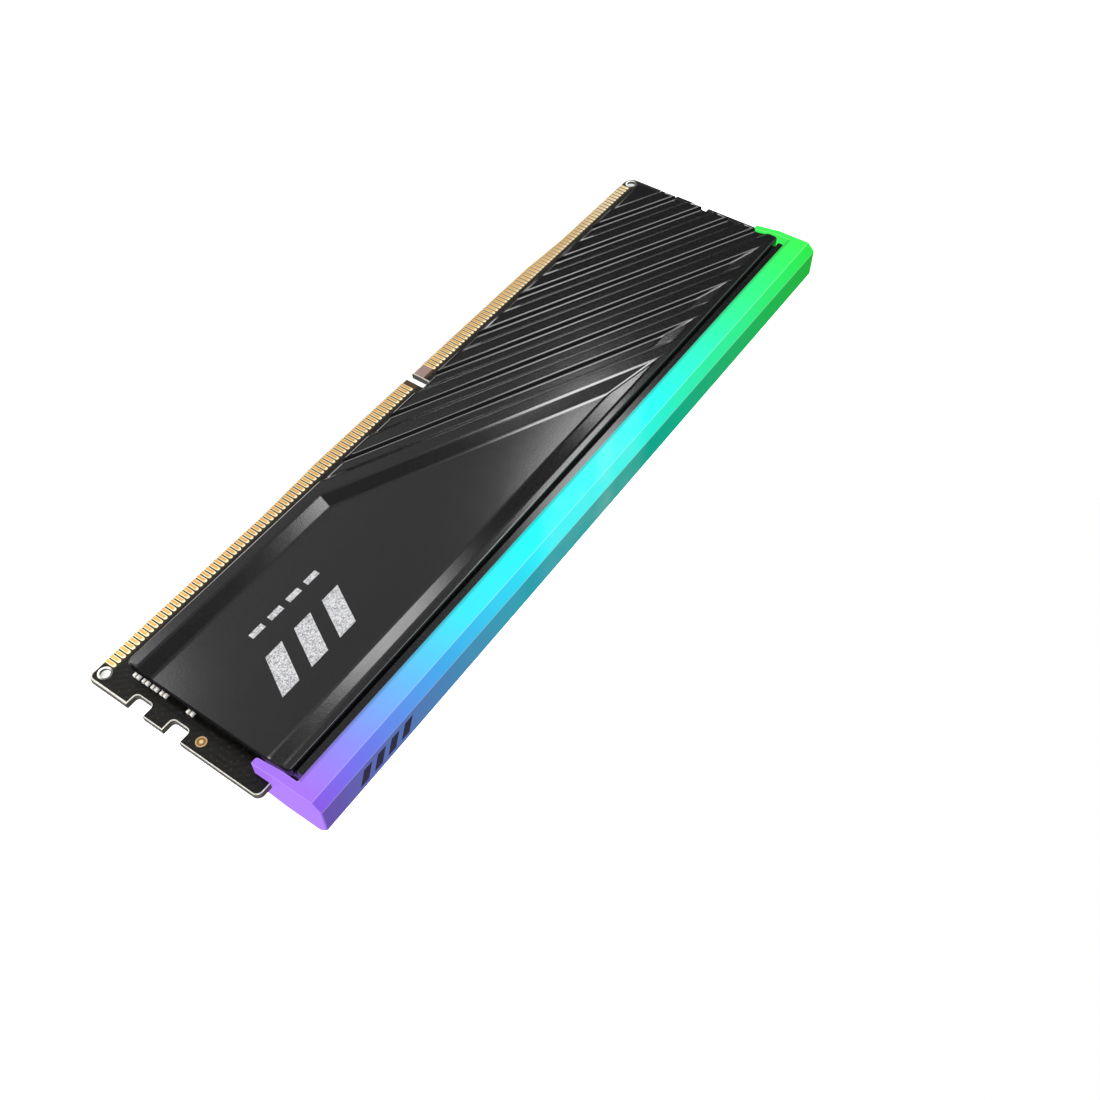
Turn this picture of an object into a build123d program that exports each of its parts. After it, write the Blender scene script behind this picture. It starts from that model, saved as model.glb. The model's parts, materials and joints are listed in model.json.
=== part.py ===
from build123d import *
import os
from math import atan, sin, tan

os.makedirs("parts", exist_ok=True)

# All lengths are millimetres.  X runs along the module, Z runs up from the contact edge to
# the light bar, and the front face looks towards -Y.  Z = 0 is the lowest point of the board.

# ---- circuit board -------------------------------------------------------------------------
BOARD_L = 133.35
BOARD_H = 31.25
BOARD_T = 1.27
BOARD_Y = BOARD_T / 2
END_STEP = 0.5            # the two ends of the contact edge sit this much higher than the middle
STEP_LEFT_OUT = -44.0
STEP_LEFT_IN = -34.0
STEP_RIGHT_IN = 21.0
STEP_RIGHT_OUT = 33.0
LOW_CORNER_R = 1.0
TOP_CORNER_R = 2.0
EDGE_BEVEL = 0.2

KEY_X = -1.83             # centre of the key slot
KEY_W = 1.55
KEY_H = 3.9               # height of the crown of the slot above the contact edge

LATCH_DEPTH = 2.0         # latch notches in the two short ends
LATCH_H = 3.1
LATCH_R = 0.6
LATCH_LOW_Z = 9.45
LATCH_HIGH_Z = 16.1

# ---- contacts ------------------------------------------------------------------------------
PITCH = 0.85
PAD_W = 0.6
PAD_TOP_Z = 2.5
PAD_T = 0.04
PAD_CLEAR = 0.22          # gap between a contact and the contact edge
FIRST_PAD_X = 63.325
RIGHT_PADS = 75
LEFT_PADS = 69

# ---- plated holes and gold pads --------------------------------------------------------------
HOLE_X = 64.88
HOLE_Z = 2.14
HOLE_D = 1.5
BARREL_D = 1.7
RING_D = 2.05
RING_T = 0.04
TEST_PAD_X = 65.04
TEST_PAD_Z = 20.0
TEST_PAD_D = 1.55
TEST_PAD_MARK_D = 0.7

# ---- memory chips ----------------------------------------------------------------------------
CHIP_W = 10.0
CHIP_H = 11.0
CHIP_T = 1.05
CHIP_LOW_Z = 4.2
CHIP_PITCH = 12.2
CHIP_FIRST_X = 17.0
CHIPS_PER_SIDE = 4
BALL_GAP = 0.2            # height of the solder ball layer under a chip
BALL_INSET = 0.5

# ---- small parts -----------------------------------------------------------------------------
CAP_W = 0.7
CAP_L = 1.1
CAP_T = 0.5
END_CAP_X = 62.8
END_CAP_Z = (6.2, 7.85, 9.5, 11.15, 16.0)
SMALL_CAP_W = 0.5
SMALL_CAP_L = 1.0
SMALL_CAP_T = 0.5
GAP_CAP_Z = (4.7, 6.5, 8.3)
POWER_CHIP_SIZE = 5.0
POWER_CHIP_T = 0.75
POWER_CHIP_Z = 23.5
COIL_W = 2.5
COIL_H = 2.0
COIL_T = 1.2
COIL_PLACES = ((-8.0, 26.0), (0.0, 17.5), (8.0, 26.0))
HUB_W = 3.0
HUB_H = 2.0
HUB_T = 0.6
HUB_X = -13.0
HUB_Z = 19.0
CONTROLLER_SIZE = 3.0
CONTROLLER_T = 0.6
CONTROLLER_X = 20.0
CONTROLLER_Z = 26.5

# ---- heat spreaders --------------------------------------------------------------------------
PLATE_L = 125.8
PLATE_LOW_Z = 5.1
PLATE_TOP_Z = 33.6
PLATE_OUT_Y = 3.6
PLATE_IN_Y = 2.1
PLATE_CORNER_R = 0.8
PLATE_EDGE_R = 0.3
RECESS_DEPTH = 0.6
RECESS_TOP_Z = 32.35
RECESS_LOW_Z = 6.95
BEVEL_W = 2.45            # width of the sloping border of the panel
PANEL_TIP_X = -25.2       # where the diagonal border of the panel meets its top border
RIB_SLOPE = atan(0.487)   # angle of the ribs to the length of the module
RIB_RISE = 5.43           # spacing of the ribs measured straight up
RIB_START_Z = 14.55       # height of the first crest at X = 0
GROOVE_W = 2.65           # groove width, measured square to the ribs
STEEP_W = 0.3
GENTLE_W = 0.65
RIB_COUNT = 7
OVERRUN = 8.0             # cuts run this far past the plate

# ---- pads behind the spreaders -----------------------------------------------------------------
FRONT_PAD_L = 46.6
FRONT_PAD_H = 9.6
FRONT_PAD_Z = 9.9
BACK_PAD_L = 118.0
BACK_PAD_H = 7.0
BACK_PAD_Z = (9.6, 19.2)

# ---- light bar -----------------------------------------------------------------------------------
BAR_L = 128.8
BAR_Y = 3.7
BAR_TOP_Z = 40.0
BAR_LOW_Z = 35.3
BAR_CHAMFER = 1.35
BAR_WALL = 1.1
END_WALL_IN_X = 63.15
LEG_BREAK_Z = 33.0
LEG_LOW_Z = 28.5
LEG_TIP_Y = 3.0
LEG_TIP_NARROW = 0.15
RAIL_L = 124.0
RAIL_NECK_Y = 2.1
RAIL_FLANGE_Y = 3.1
RAIL_FLANGE_LOW_Z = 34.1
RAIL_RIB_Y = 2.5
RAIL_TOP_Z = 36.3
RAIL_SKIRT_LOW_Z = 29.4
LED_COUNT = 8
LED_PITCH = 15.4
LED_W = 3.0
LED_H = 1.2
LED_T = 0.9
LED_LOW_Z = 29.6
WINDOW_L = 4.6
WINDOW_W = 1.35
GUIDE_L = 121.0
GUIDE_Y = 1.9
GUIDE_TOP_Z = 38.2

# ---- printed and stuck-on items --------------------------------------------------------------------
PRINT_T = 0.04
BLADE_COUNT = 3
BLADE_PITCH = 5.6
BLADE_W = 3.2
BLADE_H = 6.0
BLADE_LEAN = 3.2
BLADE_X = 37.5
BLADE_Z = 19.4
DASH_COUNT = 4
DASH_PITCH = 3.6
DASH_W = 2.4
DASH_H = 0.9
DASH_X = 38.6
DASH_Z = 15.6
LABEL_L = 38.0
LABEL_H = 14.0
LABEL_T = 0.1
LABEL_X = -40.0
LABEL_Z = 19.6


def at_y(y):
    """Plane square to Y at depth y, with local x along X and local y along Z."""
    return Plane.XZ.offset(-y)


def save(piece, name):
    """Label one finished piece and write its STEP file."""
    piece.part.label = name
    export_step(piece.part, f"parts/{name}.step")


def edge_height(x):
    """Height of the contact edge of the board at position x."""
    if x <= STEP_LEFT_OUT or x >= STEP_RIGHT_OUT:
        return END_STEP
    if x < STEP_LEFT_IN:
        return END_STEP * (STEP_LEFT_IN - x) / (STEP_LEFT_IN - STEP_LEFT_OUT)
    if x > STEP_RIGHT_IN:
        return END_STEP * (x - STEP_RIGHT_IN) / (STEP_RIGHT_OUT - STEP_RIGHT_IN)
    return 0.0


# ---- circuit board -------------------------------------------------------------------------
half_l = BOARD_L / 2
with BuildPart() as circuit_board:
    with BuildSketch(at_y(BOARD_Y)):
        with BuildLine():
            Polyline(
                (-half_l, END_STEP),
                (STEP_LEFT_OUT, END_STEP),
                (STEP_LEFT_IN, 0),
                (STEP_RIGHT_IN, 0),
                (STEP_RIGHT_OUT, END_STEP),
                (half_l, END_STEP),
                (half_l, BOARD_H),
                (-half_l, BOARD_H),
                close=True,
            )
        make_face()
        corners = vertices().filter_by_position(Axis.X, half_l - 0.01, half_l + 0.01)
        corners = corners + vertices().filter_by_position(Axis.X, -half_l - 0.01, -half_l + 0.01)
        corners = corners.sort_by(Axis.Z)
        fillet(corners[:2], LOW_CORNER_R)
        corners = vertices().filter_by_position(Axis.X, half_l - 0.01, half_l + 0.01)
        corners = corners + vertices().filter_by_position(Axis.X, -half_l - 0.01, -half_l + 0.01)
        fillet(corners.sort_by(Axis.Z)[-2:], TOP_CORNER_R)
        for side in (-1, 1):
            for z in (LATCH_LOW_Z, LATCH_HIGH_Z):
                with Locations((side * (half_l - LATCH_DEPTH + 2.5), z)):
                    RectangleRounded(5.0, LATCH_H, LATCH_R, mode=Mode.SUBTRACT)
            with Locations((side * HOLE_X, HOLE_Z)):
                Circle(BARREL_D / 2, mode=Mode.SUBTRACT)
        crown_z = KEY_H - KEY_W / 2
        with Locations((KEY_X, crown_z)):
            Circle(KEY_W / 2, mode=Mode.SUBTRACT)
        with Locations((KEY_X, crown_z / 2 - 0.5)):
            Rectangle(KEY_W, crown_z + 1.0, mode=Mode.SUBTRACT)
    extrude(amount=BOARD_T)
    low = circuit_board.edges().filter_by(lambda e: e.center().Z < END_STEP + 0.02)
    low = low.filter_by(lambda e: abs(abs(e.center().Y) - BOARD_Y) < 0.01 and e.length > 0.9)
    chamfer(low.filter_by(lambda e: abs((e % 0.5).X) > 0.9), EDGE_BEVEL)
save(circuit_board, "circuit_board")


# ---- edge contacts ---------------------------------------------------------------------------
def contact_row(face, first_x, direction, count):
    """One row of flat contacts on one face, counted inwards from the end of the board."""
    with BuildPart() as row:
        with BuildSketch(at_y(face * BOARD_Y)):
            for n in range(count):
                x = first_x + direction * n * PITCH
                foot = edge_height(x) + PAD_CLEAR
                head = PAD_TOP_Z - PAD_W / 2
                with Locations((x, (foot + head) / 2)):
                    Rectangle(PAD_W, head - foot)
                with Locations((x, head)):
                    Circle(PAD_W / 2)
        extrude(amount=-face * PAD_T)
    return row


save(contact_row(-1, FIRST_PAD_X, -1, RIGHT_PADS), "front_contacts_right_row")
save(contact_row(-1, -FIRST_PAD_X, 1, LEFT_PADS), "front_contacts_left_row")
save(contact_row(1, FIRST_PAD_X, -1, RIGHT_PADS), "back_contacts_right_row")
save(contact_row(1, -FIRST_PAD_X, 1, LEFT_PADS), "back_contacts_left_row")

# ---- plated holes ------------------------------------------------------------------------------
for side, name in ((-1, "plated_hole_left"), (1, "plated_hole_right")):
    with BuildPart() as plated_hole:
        with BuildSketch(at_y(BOARD_Y + RING_T)):
            with Locations((side * HOLE_X, HOLE_Z)):
                Circle(BARREL_D / 2)
        extrude(amount=BOARD_T + 2 * RING_T)
        for y, out in ((BOARD_Y, -RING_T), (-BOARD_Y, RING_T)):
            with BuildSketch(at_y(y)):
                with Locations((side * HOLE_X, HOLE_Z)):
                    Circle(RING_D / 2)
            extrude(amount=out)
        with BuildSketch(at_y(BOARD_Y + 1)):
            with Locations((side * HOLE_X, HOLE_Z)):
                Circle(HOLE_D / 2)
        extrude(amount=BOARD_T + 2, mode=Mode.SUBTRACT)
    save(plated_hole, name)

# ---- gold test pad -----------------------------------------------------------------------------
with BuildPart() as test_pad:
    with BuildSketch(at_y(-BOARD_Y)):
        with Locations((TEST_PAD_X, TEST_PAD_Z)):
            Circle(TEST_PAD_D / 2)
            Circle(TEST_PAD_MARK_D / 2, mode=Mode.SUBTRACT)
    extrude(amount=PAD_T)
    with BuildSketch(at_y(-BOARD_Y)):
        with Locations((TEST_PAD_X, TEST_PAD_Z)):
            Circle(TEST_PAD_MARK_D / 2)
    extrude(amount=PAD_T / 2)
save(test_pad, "gold_test_pad")

# ---- memory chips --------------------------------------------------------------------------------
chip_xs = [CHIP_FIRST_X + n * CHIP_PITCH for n in range(CHIPS_PER_SIDE)]
chip_z = CHIP_LOW_Z + CHIP_H / 2
for number, x in enumerate([-v for v in reversed(chip_xs)] + chip_xs, start=1):
    with BuildPart() as chip:
        with BuildSketch(at_y(-BOARD_Y)):
            with Locations((x, chip_z)):
                Rectangle(CHIP_W - 2 * BALL_INSET, CHIP_H - 2 * BALL_INSET)
        extrude(amount=BALL_GAP)
        with BuildSketch(at_y(-BOARD_Y - BALL_GAP)):
            with Locations((x, chip_z)):
                Rectangle(CHIP_W, CHIP_H)
        extrude(amount=CHIP_T - BALL_GAP)
        chamfer(chip.faces().sort_by(Axis.Y)[0].edges(), 0.08)
    save(chip, f"memory_chip_{number}")

# ---- power chip, coils, hub, light controller ------------------------------------------------------
with BuildPart() as power_chip:
    with BuildSketch(at_y(-BOARD_Y)):
        with Locations((0, POWER_CHIP_Z)):
            Rectangle(POWER_CHIP_SIZE, POWER_CHIP_SIZE)
    extrude(amount=POWER_CHIP_T)
    chamfer(power_chip.faces().sort_by(Axis.Y)[0].edges(), 0.08)
save(power_chip, "power_chip")

for number, (x, z) in enumerate(COIL_PLACES, start=1):
    with BuildPart() as coil:
        with BuildSketch(at_y(-BOARD_Y)):
            with Locations((x, z)):
                RectangleRounded(COIL_W, COIL_H, 0.2)
        extrude(amount=COIL_T)
    save(coil, f"power_coil_{number}")

with BuildPart() as sensor_hub:
    with BuildSketch(at_y(-BOARD_Y)):
        with Locations((HUB_X, HUB_Z)):
            Rectangle(HUB_W, HUB_H)
    extrude(amount=HUB_T)
save(sensor_hub, "sensor_hub_chip")

with BuildPart() as light_controller:
    with BuildSketch(at_y(BOARD_Y)):
        with Locations((CONTROLLER_X, CONTROLLER_Z)):
            Rectangle(CONTROLLER_SIZE, CONTROLLER_SIZE)
    extrude(amount=-CONTROLLER_T)
save(light_controller, "light_controller_chip")


# ---- capacitors ------------------------------------------------------------------------------------
def capacitor_group(places, width, length, height):
    """Ceramic capacitors standing end-up on the front face, one solid for each place."""
    with BuildPart() as group:
        with BuildSketch(at_y(-BOARD_Y)):
            with Locations(*places):
                Rectangle(width, length)
        extrude(amount=height)
        fillet(group.faces().filter_by(Axis.Y).group_by(Axis.Y)[0].edges(), 0.06)
    return group


for side, name in ((-1, "end_capacitors_left"), (1, "end_capacitors_right")):
    spots = [(side * END_CAP_X, z) for z in END_CAP_Z]
    save(capacitor_group(spots, CAP_W, CAP_L, CAP_T), name)

for side, name in ((-1, "chip_gap_capacitors_left"), (1, "chip_gap_capacitors_right")):
    spots = []
    for gap in range(CHIPS_PER_SIDE - 1):
        x = side * (CHIP_FIRST_X + (gap + 0.5) * CHIP_PITCH)
        spots = spots + [(x, z) for z in GAP_CAP_Z]
    save(capacitor_group(spots, SMALL_CAP_W, SMALL_CAP_L, SMALL_CAP_T), name)

power_spots = [(side * (4.0 + 1.2 * n), 21.0) for side in (-1, 1) for n in range(3)]
save(capacitor_group(power_spots, CAP_W, CAP_L, CAP_T), "power_capacitors")


# ---- heat spreaders ----------------------------------------------------------------------------------
def rib_x(rib, offset, z):
    """X of a line beside crest number rib, moved square to the ribs by offset, at height z."""
    crest = (RIB_START_Z - rib * RIB_RISE - z) / tan(RIB_SLOPE)
    return crest + offset / sin(RIB_SLOPE)


def groove_outline(rib, near, far, top_z):
    """Corners of one groove between two lines beside its crest, open past the plate's foot."""
    foot_z = PLATE_LOW_Z - OVERRUN
    return [
        (rib_x(rib, near, top_z), top_z),
        (rib_x(rib, far, top_z), top_z),
        (rib_x(rib, far, foot_z), foot_z),
        (rib_x(rib, near, foot_z), foot_z),
    ]


panel_right_x = PLATE_L / 2 + OVERRUN
panel_run = (RECESS_TOP_Z - RECESS_LOW_Z) / tan(RIB_SLOPE)
panel_outline = [
    (PANEL_TIP_X, RECESS_TOP_Z),
    (panel_right_x, RECESS_TOP_Z),
    (panel_right_x, RECESS_LOW_Z),
    (PANEL_TIP_X + panel_run, RECESS_LOW_Z),
]
with BuildPart() as front_heat_spreader:
    with BuildSketch(at_y(-PLATE_IN_Y)):
        with Locations((0, (PLATE_LOW_Z + PLATE_TOP_Z) / 2)):
            RectangleRounded(PLATE_L, PLATE_TOP_Z - PLATE_LOW_Z, PLATE_CORNER_R)
    extrude(amount=PLATE_OUT_Y - PLATE_IN_Y)
    fillet(front_heat_spreader.faces().sort_by(Axis.Y)[0].edges(), PLATE_EDGE_R)
    with BuildSketch(at_y(-PLATE_OUT_Y)):
        Polygon(*panel_outline, align=None)
    with BuildSketch(at_y(-PLATE_OUT_Y + RECESS_DEPTH)):
        Polygon(*panel_outline, align=None)
        offset(amount=-BEVEL_W, kind=Kind.INTERSECTION)
    loft(ruled=True, mode=Mode.SUBTRACT)
    for rib in range(RIB_COUNT + 1):
        wall = 0 if rib < RIB_COUNT else -2 * OVERRUN
        with BuildSketch(at_y(-PLATE_OUT_Y)):
            Polygon(*groove_outline(rib, wall, GROOVE_W, RECESS_TOP_Z), align=None)
        with BuildSketch(at_y(-PLATE_OUT_Y + RECESS_DEPTH)):
            floor = groove_outline(rib, wall + STEEP_W, GROOVE_W - GENTLE_W, RECESS_TOP_Z - BEVEL_W)
            Polygon(*floor, align=None)
        loft(ruled=True, mode=Mode.SUBTRACT)
save(front_heat_spreader, "front_heat_spreader")

with BuildPart() as back_heat_spreader:
    add(front_heat_spreader.part.rotate(Axis.Z, 180))
save(back_heat_spreader, "back_heat_spreader")

# ---- pads between the board and the spreaders -----------------------------------------------------------
pad_x = CHIP_FIRST_X + (CHIPS_PER_SIDE - 1) * CHIP_PITCH / 2
for side, name in ((-1, "thermal_pad_left"), (1, "thermal_pad_right")):
    with BuildPart() as thermal_pad:
        with BuildSketch(at_y(-BOARD_Y - CHIP_T)):
            with Locations((side * pad_x, FRONT_PAD_Z)):
                Rectangle(FRONT_PAD_L, FRONT_PAD_H)
        extrude(amount=PLATE_IN_Y - BOARD_Y - CHIP_T)
    save(thermal_pad, name)

with BuildPart() as power_pad:
    with BuildSketch(at_y(-BOARD_Y - POWER_CHIP_T)):
        with Locations((0, POWER_CHIP_Z)):
            Rectangle(POWER_CHIP_SIZE, POWER_CHIP_SIZE)
    extrude(amount=PLATE_IN_Y - BOARD_Y - POWER_CHIP_T)
save(power_pad, "thermal_pad_power_chip")

for z, name in zip(BACK_PAD_Z, ("back_pad_lower", "back_pad_upper")):
    with BuildPart() as back_pad:
        with BuildSketch(at_y(BOARD_Y)):
            with Locations((0, z)):
                Rectangle(BACK_PAD_L, BACK_PAD_H)
        extrude(amount=-(PLATE_IN_Y - BOARD_Y))
    save(back_pad, name)

# ---- lights and the rail that carries the light bar ------------------------------------------------------
led_xs = [(n - (LED_COUNT - 1) / 2) * LED_PITCH for n in range(LED_COUNT)]
for number, x in enumerate(led_xs, start=1):
    with BuildPart() as led:
        with BuildSketch(at_y(-BOARD_Y)):
            with Locations((x, LED_LOW_Z + LED_H / 2)):
                Rectangle(LED_W, LED_H)
        extrude(amount=LED_T)
        with BuildSketch(Plane.XY.offset(LED_LOW_Z + LED_H)):
            with Locations((x, -BOARD_Y - LED_T / 2)):
                Rectangle(LED_W - 0.8, LED_T - 0.3)
        extrude(amount=-0.25, mode=Mode.SUBTRACT)
    save(led, f"light_chip_{number}")

with BuildPart() as light_rail:
    with BuildSketch(Plane.YZ):
        with BuildLine():
            Polyline(
                (-RAIL_NECK_Y, BOARD_H),
                (BOARD_Y, BOARD_H),
                (BOARD_Y, RAIL_SKIRT_LOW_Z),
                (RAIL_NECK_Y, RAIL_SKIRT_LOW_Z),
                (RAIL_NECK_Y, RAIL_FLANGE_LOW_Z),
                (RAIL_FLANGE_Y, RAIL_FLANGE_LOW_Z),
                (RAIL_FLANGE_Y, BAR_LOW_Z),
                (RAIL_RIB_Y, BAR_LOW_Z),
                (RAIL_RIB_Y, RAIL_TOP_Z),
                (-RAIL_RIB_Y, RAIL_TOP_Z),
                (-RAIL_RIB_Y, BAR_LOW_Z),
                (-RAIL_FLANGE_Y, BAR_LOW_Z),
                (-RAIL_FLANGE_Y, RAIL_FLANGE_LOW_Z),
                (-RAIL_NECK_Y, RAIL_FLANGE_LOW_Z),
                close=True,
            )
        make_face()
    extrude(amount=RAIL_L / 2, both=True)
    with BuildSketch(Plane.XY.offset(BOARD_H - 1)):
        with Locations(*[(x, -BOARD_Y - WINDOW_W / 2 + 0.15) for x in led_xs]):
            Rectangle(WINDOW_L, WINDOW_W)
    extrude(amount=RAIL_TOP_Z - BOARD_H + 2, mode=Mode.SUBTRACT)
save(light_rail, "light_rail")

with BuildPart() as light_guide:
    with BuildSketch(Plane.YZ):
        with Locations((0, (RAIL_TOP_Z + GUIDE_TOP_Z) / 2)):
            Rectangle(2 * GUIDE_Y, GUIDE_TOP_Z - RAIL_TOP_Z)
    extrude(amount=GUIDE_L / 2, both=True)
    chamfer(light_guide.faces().sort_by(Axis.Z)[-1].edges().filter_by(Axis.X), 0.5)
save(light_guide, "light_guide")

# ---- light bar cover --------------------------------------------------------------------------------------
shoulder_y = BAR_Y - BAR_CHAMFER
shoulder_z = BAR_TOP_Z - BAR_CHAMFER
cover_outline = [
    (-BAR_Y, BAR_LOW_Z),
    (-BAR_Y, shoulder_z),
    (-shoulder_y, BAR_TOP_Z),
    (shoulder_y, BAR_TOP_Z),
    (BAR_Y, shoulder_z),
    (BAR_Y, BAR_LOW_Z),
]
end_outline = [
    (-BAR_Y, BAR_LOW_Z),
    (-BAR_Y, LEG_BREAK_Z),
    (-LEG_TIP_Y, LEG_LOW_Z),
    (-BOARD_Y, LEG_LOW_Z),
    (-BOARD_Y, BOARD_H),
    (BOARD_Y, BOARD_H),
    (BOARD_Y, LEG_LOW_Z),
    (LEG_TIP_Y, LEG_LOW_Z),
    (BAR_Y, LEG_BREAK_Z),
    (BAR_Y, BAR_LOW_Z),
]
inner_y = BAR_Y - BAR_WALL
inner_z = BAR_TOP_Z - BAR_WALL
inner_shoulder_y = shoulder_y - BAR_WALL * tan(atan(1) / 2)
inner_shoulder_z = shoulder_z - BAR_WALL * tan(atan(1) / 2)
cavity_outline = [
    (-inner_y, BAR_LOW_Z - 1),
    (-inner_y, inner_shoulder_z),
    (-inner_shoulder_y, inner_z),
    (inner_shoulder_y, inner_z),
    (inner_y, inner_shoulder_z),
    (inner_y, BAR_LOW_Z - 1),
]
with BuildPart() as light_cover:
    with BuildSketch(Plane.YZ):
        Polygon(*cover_outline, align=None)
    extrude(amount=BAR_L / 2, both=True)
    for x in (-BAR_L / 2, END_WALL_IN_X):
        with BuildSketch(Plane.YZ.offset(x)):
            Polygon(*end_outline, align=None)
        extrude(amount=BAR_L / 2 - END_WALL_IN_X)
    with BuildSketch(Plane.YZ):
        Polygon(*cavity_outline, align=None)
    extrude(amount=END_WALL_IN_X, both=True, mode=Mode.SUBTRACT)
    with BuildSketch(at_y(BAR_Y + 1)):
        for side in (-1, 1):
            wedge = [
                (side * END_WALL_IN_X, LEG_BREAK_Z),
                (side * END_WALL_IN_X, LEG_LOW_Z),
                (side * (END_WALL_IN_X + LEG_TIP_NARROW), LEG_LOW_Z),
            ]
            Polygon(*wedge, align=None)
    extrude(amount=2 * BAR_Y + 2, mode=Mode.SUBTRACT)
    tips = light_cover.edges().filter_by(Axis.Y)
    tips = tips.filter_by_position(Axis.Z, LEG_LOW_Z - 0.01, LEG_LOW_Z + 0.01)
    fillet(tips, 0.3)
    fillet(light_cover.faces().sort_by(Axis.Z)[-1].edges().filter_by(Axis.Y), 0.3)
save(light_cover, "light_cover")

# ---- printed mark on the panel and label on the back -------------------------------------------------------
panel_floor_y = PLATE_OUT_Y - RECESS_DEPTH
with BuildPart() as panel_mark:
    with BuildSketch(at_y(-panel_floor_y)):
        for n in range(BLADE_COUNT):
            x = BLADE_X + n * BLADE_PITCH
            blade = [
                (x, BLADE_Z),
                (x + BLADE_W, BLADE_Z),
                (x + BLADE_W + BLADE_LEAN, BLADE_Z + BLADE_H),
                (x + BLADE_LEAN, BLADE_Z + BLADE_H),
            ]
            Polygon(*blade, align=None)
        for n in range(DASH_COUNT):
            with Locations((DASH_X + n * DASH_PITCH, DASH_Z)):
                Rectangle(DASH_W, DASH_H)
    extrude(amount=PRINT_T)
save(panel_mark, "panel_mark")

with BuildPart() as back_label:
    with BuildSketch(at_y(panel_floor_y)):
        with Locations((LABEL_X, LABEL_Z)):
            RectangleRounded(LABEL_L, LABEL_H, 0.8)
    extrude(amount=-LABEL_T)
save(back_label, "back_label")
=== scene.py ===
import json
import math
import bmesh
import bpy
from mathutils import Matrix, Vector


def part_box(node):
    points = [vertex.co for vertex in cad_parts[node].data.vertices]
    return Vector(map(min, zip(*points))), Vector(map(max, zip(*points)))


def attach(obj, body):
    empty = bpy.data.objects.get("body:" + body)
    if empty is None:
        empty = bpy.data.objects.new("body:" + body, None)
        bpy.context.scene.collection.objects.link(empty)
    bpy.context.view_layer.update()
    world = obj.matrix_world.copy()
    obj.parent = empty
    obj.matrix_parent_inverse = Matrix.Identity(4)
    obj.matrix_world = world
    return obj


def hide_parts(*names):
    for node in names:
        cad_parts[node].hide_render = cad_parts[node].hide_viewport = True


# A memory module with ribbed heat spreaders and a light bar.  The CAD frame stands upright:
# X runs along the module, Z up from the contact edge, and the front face looks towards -Y.

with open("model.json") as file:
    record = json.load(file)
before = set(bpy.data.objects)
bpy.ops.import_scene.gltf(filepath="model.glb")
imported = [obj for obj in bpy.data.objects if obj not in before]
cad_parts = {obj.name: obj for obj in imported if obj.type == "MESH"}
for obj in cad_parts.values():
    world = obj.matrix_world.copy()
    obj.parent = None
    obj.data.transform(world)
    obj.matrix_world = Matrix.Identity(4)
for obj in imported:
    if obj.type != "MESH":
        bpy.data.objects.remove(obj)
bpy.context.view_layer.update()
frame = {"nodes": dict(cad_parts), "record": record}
MM = 0.001
SAME_PLACE = 1e-6         # metres

# ---- camera and floor --------------------------------------------------------------------------
CAMERA_PLACE = (102.06, -137.94, 100.69)   # millimetres
CAMERA_AZIMUTH = 122.53                    # heading of the view, degrees from +X towards +Y
CAMERA_TILT = -20.78
CAMERA_ROLL = 118.53
CAMERA_LENS = 40.01
FLOOR_SIZE = 40.0                          # metres
FLOOR_DROP = 0.2                           # gap under the module, millimetres
FLOOR_GLOW = 0.6                           # keeps the floor white

# ---- sizes of the Blender pieces, millimetres --------------------------------------------------
WELD = 0.0005
FLAT_LIMIT = 0.4          # faces within this many degrees of each other are merged
SPREADER_ROUND = 0.29
SPREADER_SHARP = 10.0     # edges of the spreader above this angle in degrees are rounded
BOARD_EDGE = 0.13
BOARD_SHARP = 40.0
HOLE_Z = 2.14
BORE_SHADE_Y = (-0.1, -0.32)    # painted shade: the bore turns dark from the first towards the second
CONTACTS_X = 63.75        # the contacts end here, on both sides
CONTACTS_Z = 2.5          # and here at their tops
CONTACT_PITCH = 0.85
FIRST_CONTACT_X = 63.325
ROWS_PART_X = -0.45       # the two rows of contacts are counted from opposite ends up to here
CONTACT_HIGHLIGHT_RIM = (0.17, 0.24)     # painted highlight: the pale rim starts between these distances from the middle
CONTACT_HIGHLIGHT_TIP_Z = (2.0, 2.3)     # and the painted highlight over the tip between these heights
GOLD_REFLECTION_X = (-42.0, -62.0)   # painted reflection: the gold grows pale from the first towards the second
BARE_PATCH_X = (-5.35, -2.6)   # patch of bare laminate beside the key slot
BARE_PATCH_Z = 2.25
COVER_EDGE = 0.09
COVER_SHARP = 35.0
NARROW_STRIP = 0.24       # faces narrower than this belong to a rounded edge
ROUNDED_LIMIT = 50.0      # degrees between faces, above which a rounded edge is shaded crisp
LONG_STRIP = 0.8          # strips longer than this are shaded across their width only
RIM_WIDTH = 0.55          # border of a spreader that is cut apart before its edges are rounded
TIN_SHARE = 0.39          # part of a capacitor's length that is tinned at each end
CAP_SWELL = 0.03          # how far the tinned ends stand proud of the ceramic
CAP_ROUND = 0.05
COVER_SPAN = 132.0        # length over which the light bar's colours run
COVER_STREAK_X = (-72.0, -46.0)   # pale slanted streak, where X - 1.6 Z lies between these
COVER_STREAK_CORE_X = (-64.0, -60.0)
COVER_STREAK = 0.09
COVER_FOOT_SHADE_Z = 35.7       # painted shade: the cover's lower edge is darker below this, between its legs
COVER_LEG_X = 63.0
COVER_MARK_X = 47.0
COVER_MARK_BARS = 4
COVER_MARK_PITCH = 2.7
COVER_MARK_W = 1.5
COVER_MARK_LEAN = 1.1
COVER_MARK_HALF_Y = 1.35
COVER_MARK_T = 0.03
LABEL_MARGIN = 1.0        # from the label's edge to its printed frame
LABEL_LINE = 0.2
LABEL_SOFT = 0.04
LABEL_BARS = (14.0, 9.0, 18.0)
LABEL_BAR_DOWN = 3.4
LABEL_BAR_IN = 2.6
LABEL_BAR_PITCH = 2.3
LABEL_BAR_T = 0.75
LABEL_STRIPES_IN = (3.0, 12.0)     # left and right margins of the striped field
LABEL_STRIPES_Z = (2.2, 4.6)

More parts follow.
